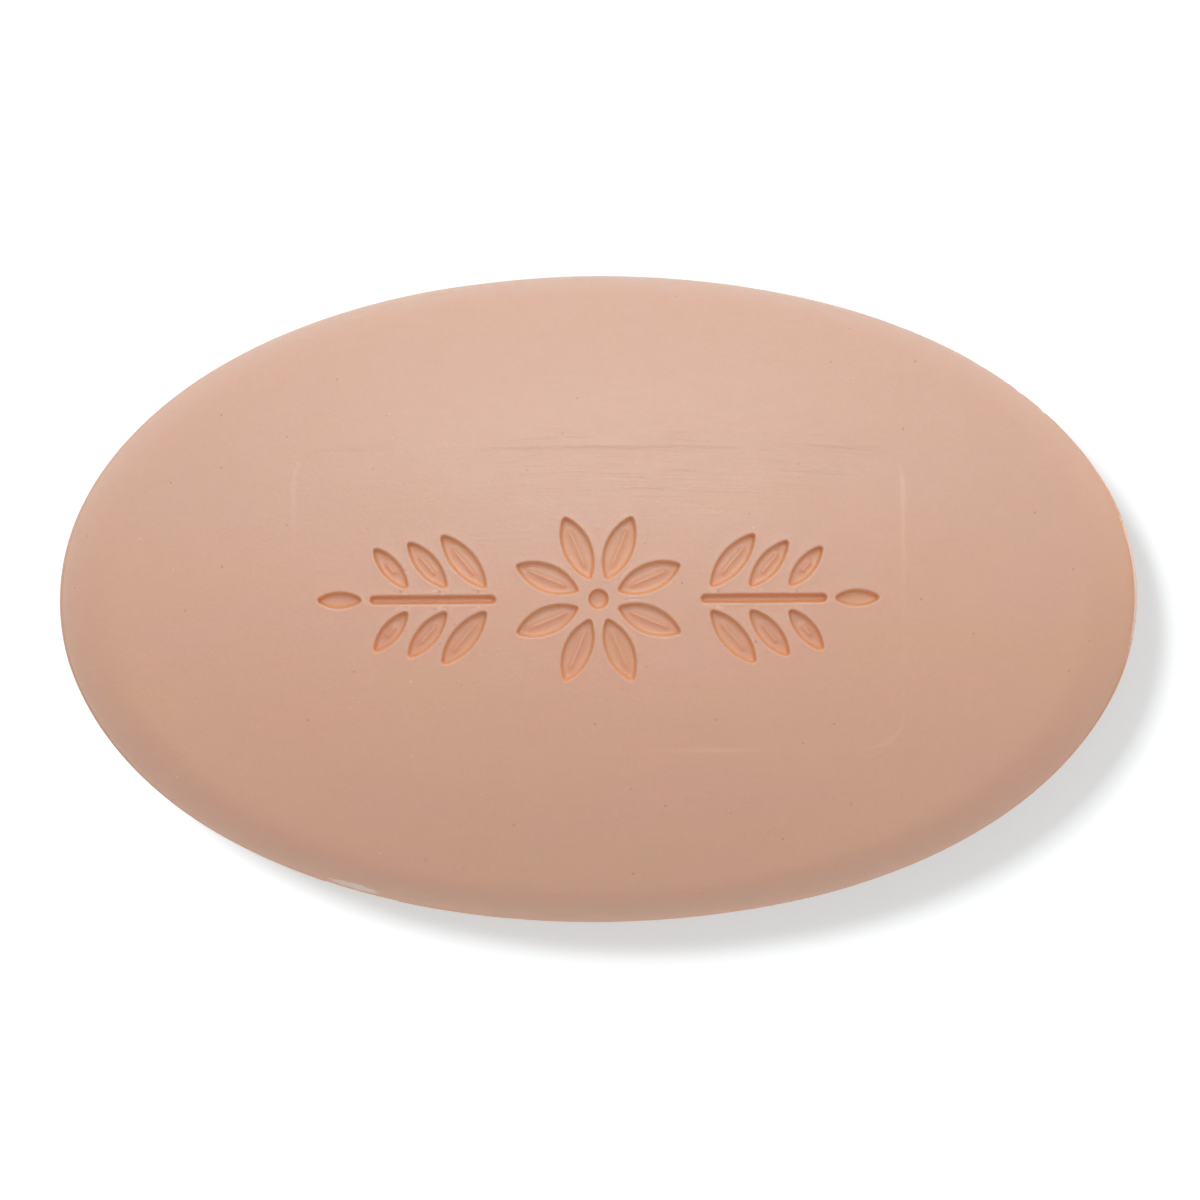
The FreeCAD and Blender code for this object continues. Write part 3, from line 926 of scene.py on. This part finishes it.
def body_colour_with_sheen(shade, finish, drawn, y):
    """Rosy drifts in the soap, and painted sheen: a paler colour towards the far side."""
    drift = shade.noise(drawn, DRIFTS, 3.0)
    # Painted sheen: the far side is made paler, with a drifting border.
    sheen_share = (y + (drift - 0.5) * 20).over(-8, 13)
    body = shade.blend(drift.over(0.3, 0.7), rgba(finish.body), rgba(finish.rosy))
    return shade.blend(sheen_share * 0.85, body, rgba(finish.painted_sheen))


def paint_mark_shade(shade, finish, body):
    """Painted shade in the mark: a dark orange down its walls and a darker, more orange floor, for
    shade and light bounced in the groove.
    """
    hollow = shade.attribute("hollow")
    floor = hollow.over(0.93, 1.0)
    body = shade.blend(hollow.over(0.1, 0.5) * (1 - floor) * 0.85, body, rgba(finish.painted_orange_shade))
    return shade.blend(floor * 0.8, body, rgba(finish.sunk))


def worn_and_highlight_share(shade, crumb):
    """How much the soap is worn pale, with a crumbly edge; along the flash the same share is a painted
    highlight.
    """
    scuff = shade.attribute("scuff")
    return (scuff + (crumb - 0.5) * 1.1 * scuff.over(0.02, 0.5)).over(0.3, 0.7)


def loose_grains(shade, place):
    """Dark flecks and small painted highlights, each in the middle of some of the cells."""
    cells = {"feature": "F1", "voronoi_dimensions": "3D"}
    sockets = {"Vector": place, "Scale": CELLS}
    distance, cell = shade.node("ShaderNodeTexVoronoi", cells, sockets, output=(0, 1))
    chance, size = shade.node("ShaderNodeSeparateColor", {}, {0: cell}, output=(0, 1))
    fleck = (1 - distance.over(0.02, 0.06 + size * 0.06)) * chance.over(0.62, 0.64)
    painted_glint = (1 - distance.over(0.02, 0.07)) * (1 - chance.over(0.06, 0.08))
    return fleck, painted_glint


def drag_marks(shade, x, y):
    """Fine bowed lines along the bar, and how strong they are: most in a patch at the far side."""
    bowed = y + x * x * 0.0022
    along = shade.node("ShaderNodeCombineXYZ", {}, {0: x * 0.05, 1: bowed, 2: 0.0})
    drag = shade.noise(along, DRAG_LINES, 3.0, 0.65)
    patch = (x - 9.0) * (x - 9.0) * 0.0028 + (y - 12.5) * (y - 12.5) * 0.045
    return drag, 0.22 + (1 - patch.over(0.2, 1.4)) * 0.78


def soap_material(finish):
    """Pressed soap: waxy and satin, with slow colour drift, flecks and fine drag marks."""
    material = bpy.data.materials.new("soap")
    material.use_nodes = True
    shade = Shade(material.node_tree)
    metres = shade.node("ShaderNodeTexCoord", output=3)
    place = shade.node("ShaderNodeVectorMath", {"operation": "SCALE"}, {0: metres, 3: 1 / MM})
    x, y = shade.node("ShaderNodeSeparateXYZ", {}, {0: place}, output=(0, 1))
    drawn = shade.node("ShaderNodeVectorMath", {"operation": "MULTIPLY"}, {0: place, 1: DRAWN})
    mottle = shade.noise(drawn, MOTTLE, 3.0, 0.62)
    grain = shade.noise(place, GRAIN, 3.0, 0.65)
    crumb = shade.noise(place, CRUMBS, 3.0, 0.65)
    edge = shade.attribute("edge")
    scraped = worn_and_highlight_share(shade, crumb)
    fleck, painted_glint = loose_grains(shade, place)
    drag, dragged = drag_marks(shade, x, y)

    body = body_colour_with_sheen(shade, finish, drawn, y)
    body = shade.blend(mottle.over(0.3, 0.75) * 0.25, body, rgba(finish.body, 0.94))
    body = shade.blend(grain.over(0.3, 0.75) * 0.06, body, rgba(finish.fleck))
    body = paint_mark_shade(shade, finish, body)
    # Painted light: the lighter rim colour where the rim's mask is set.
    body = shade.blend(edge, body, rgba(finish.rim))
    # Painted shade: dark orange beside the ridge, where the rim's mask runs high.
    body = shade.blend((edge - 0.75) * 0.55, body, rgba(finish.painted_orange_shade))
    # Pale where scraped or chipped; along the flash this is a painted highlight.
    body = shade.blend(scraped * 0.8, body, rgba(finish.pale))
    body = shade.blend(fleck * 0.5, body, rgba(finish.fleck))
    # Painted highlight: small pale dots in a few cells.
    body = shade.blend(painted_glint * 0.4, body, rgba(finish.pale, 1.12))

    height = (
        (drag - 0.5) * dragged * DRAG_HEIGHT
        + drag.over(0.62, 0.67) * dragged * LINE_HEIGHT
        + (grain - 0.5) * GRAIN_HEIGHT
        + (crumb - 0.5) * scraped * CRUMB_HEIGHT
        - fleck * FLECK_DEPTH
        + painted_glint * GLINT_HEIGHT
    )
    bump = shade.node("ShaderNodeBump", {}, {"Strength": 1.0, "Distance": MM, "Height": height})
    rough = finish.gloss + (mottle - 0.5) * 0.12 + (drag - 0.5) * 0.14 + scraped * 0.25 + edge * 0.3
    sockets = {
        "Base Color": body,
        "Roughness": rough,
        "Normal": bump,
        "IOR": SOAP_IOR,
        "Specular IOR Level": finish.shine,
        "Subsurface Weight": finish.glow,
        "Subsurface Radius": SOAP_RADIUS,
        "Subsurface Scale": finish.reach,
    }
    soft = {"subsurface_method": "BURLEY"}
    surface = shade.node("ShaderNodeBsdfPrincipled", soft, sockets)
    shade.node("ShaderNodeOutputMaterial", {}, {"Surface": surface})
    return material


def floor_material(studio):
    """Plain white floor that shows pure white to the camera, apart from the bar's shadow."""
    material = bpy.data.materials.new("floor")
    material.use_nodes = True
    shade = Shade(material.node_tree)
    seen = shade.node("ShaderNodeLightPath", output=0)
    glossy = shade.node("ShaderNodeLightPath", output=3)
    through = shade.node("ShaderNodeLightPath", output=6)
    lift = (seen + glossy + through) * studio.floor_lift
    matt = shade.node("ShaderNodeBsdfDiffuse", {}, {"Color": FLOOR_WHITE})
    added = shade.node("ShaderNodeEmission", {}, {"Color": (1, 1, 1, 1), "Strength": lift})
    both = shade.node("ShaderNodeAddShader", {}, {0: matt, 1: added})
    shade.node("ShaderNodeOutputMaterial", {}, {"Surface": both})
    return material


# Operators

class SOAP_OT_make_bar(bpy.types.Operator):
    """Make the bar of soap in place of the plain solid"""

    bl_idname = "soap.make_bar"
    bl_label = "Make Bar"

    def execute(self, context):
        scene = context.scene
        mesh = build_blank(scene.soap_form, scene.soap_panel, scene.soap_mark)
        data = bpy.data.meshes.new("soap")
        mesh.to_mesh(data)
        mesh.free()
        data.shade_smooth()
        data.materials.append(soap_material(scene.soap_finish))
        bar = bpy.data.objects.new("soap", data)
        scene.collection.objects.link(bar)
        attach(bar, "root")
        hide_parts(NODE)
        return {"FINISHED"}


def place_lamp(scene, name, target, west, lean, away, size, power):
    """Adds a lamp for one target, at an angle west of the upright and one behind it."""
    lamp = bpy.data.lights.new(name, "AREA")
    lamp.shape = "RECTANGLE"
    lamp.size, lamp.size_y = size
    lamp.energy = power
    thing = bpy.data.objects.new(name, lamp)
    way = Vector((-math.tan(west), math.tan(lean), 1)).normalized()
    thing.location = way * away
    thing.rotation_euler = way.to_track_quat("Z", "Y").to_euler()
    thing.visible_camera = False
    lit = bpy.data.collections.new("lit by the " + name)
    lit.objects.link(target)
    thing.light_linking.receiver_collection = lit
    scene.collection.objects.link(thing)


class SOAP_OT_set_stage(bpy.types.Operator):
    """Set the floor, the lights and the camera"""

    bl_idname = "soap.set_stage"
    bl_label = "Set Stage"

    def execute(self, context):
        scene = context.scene
        studio = scene.soap_studio
        floor = self.lay_floor(scene, studio)
        self.hang_lights(scene, studio, floor)
        self.place_camera(scene, studio)
        scene.view_settings.view_transform = "Standard"
        return {"FINISHED"}

    def lay_floor(self, scene, studio):
        half = 2.0
        data = bpy.data.meshes.new("floor")
        corners = [(-half, -half, 0), (half, -half, 0), (half, half, 0), (-half, half, 0)]
        data.from_pydata(corners, [], [(0, 1, 2, 3)])
        data.materials.append(floor_material(studio))
        floor = bpy.data.objects.new("floor", data)
        scene.collection.objects.link(floor)
        return floor

    def hang_lights(self, scene, studio, floor):
        bar = scene.objects.get("soap")
        if bar is None:
            raise RuntimeError("Make the bar before the stage")
        # Name, what it lights, degrees west, degrees behind, metres away, size in metres, watts
        lamps = (
            ("overhead", bar, 0, 5, 1.2, (1.2, 0.8), studio.top_power),
            ("softbox", bar, 0, 31, 1.1, (0.62, 0.34), studio.box_power),
            ("window", bar, 0, 65, 1.4, (1.4, 0.7), studio.window_power),
            ("floor lamp", floor, 14, 12.6, 1.2, (0.15, 0.15), studio.floor_power),
        )
        for name, target, west, lean, away, size, power in lamps:
            angles = (math.radians(west), math.radians(lean))
            place_lamp(scene, name, target, *angles, away, size, power)
        world = bpy.data.worlds.new("sky")
        world.use_nodes = True
        shade = Shade(world.node_tree)
        sockets = {"Color": (1, 1, 1, 1), "Strength": studio.sky}
        sky = shade.node("ShaderNodeBackground", {}, sockets)
        shade.node("ShaderNodeOutputWorld", {}, {"Surface": sky})
        scene.world = world

    def place_camera(self, scene, studio):
        data = bpy.data.cameras.new("camera")
        data.lens = studio.lens
        camera = bpy.data.objects.new("camera", data)
        form = scene.soap_form
        blank = Blank(form, scene.soap_panel.depth)
        width = form.long_way / studio.fill_share
        away = width * data.lens / data.sensor_width
        camera.location = (-studio.off_x, -studio.off_y, blank.level + away)
        camera.rotation_euler = (0, 0, -studio.roll)
        scene.collection.objects.link(camera)
        scene.camera = camera


OPERATORS = (SOAP_OT_make_bar, SOAP_OT_set_stage)


class SOAP_PT_sidebar(bpy.types.Panel):
    """Buttons and sizes for the bar of soap"""

    bl_idname = "SOAP_PT_sidebar"
    bl_label = "Bar of Soap"
    bl_space_type = "VIEW_3D"
    bl_region_type = "UI"
    bl_category = "Soap"

    def draw(self, context):
        for operator in OPERATORS:
            self.layout.operator(operator.bl_idname)
        for name, group in GROUPS.items():
            box = self.layout.box()
            box.label(text=group.__doc__)
            for prop in group.__annotations__:
                box.prop(getattr(context.scene, name), prop)


CLASSES = (*GROUPS.values(), *OPERATORS, SOAP_PT_sidebar)


def register():
    for cls in CLASSES:
        bpy.utils.register_class(cls)
    for name, group in GROUPS.items():
        setattr(bpy.types.Scene, name, PointerProperty(type=group))


def unregister():
    for name in GROUPS:
        delattr(bpy.types.Scene, name)
    for cls in reversed(CLASSES):
        bpy.utils.unregister_class(cls)


def main():
    register()
    bpy.ops.soap.make_bar()
    bpy.ops.soap.set_stage()


if __name__ == "__main__":
    main()
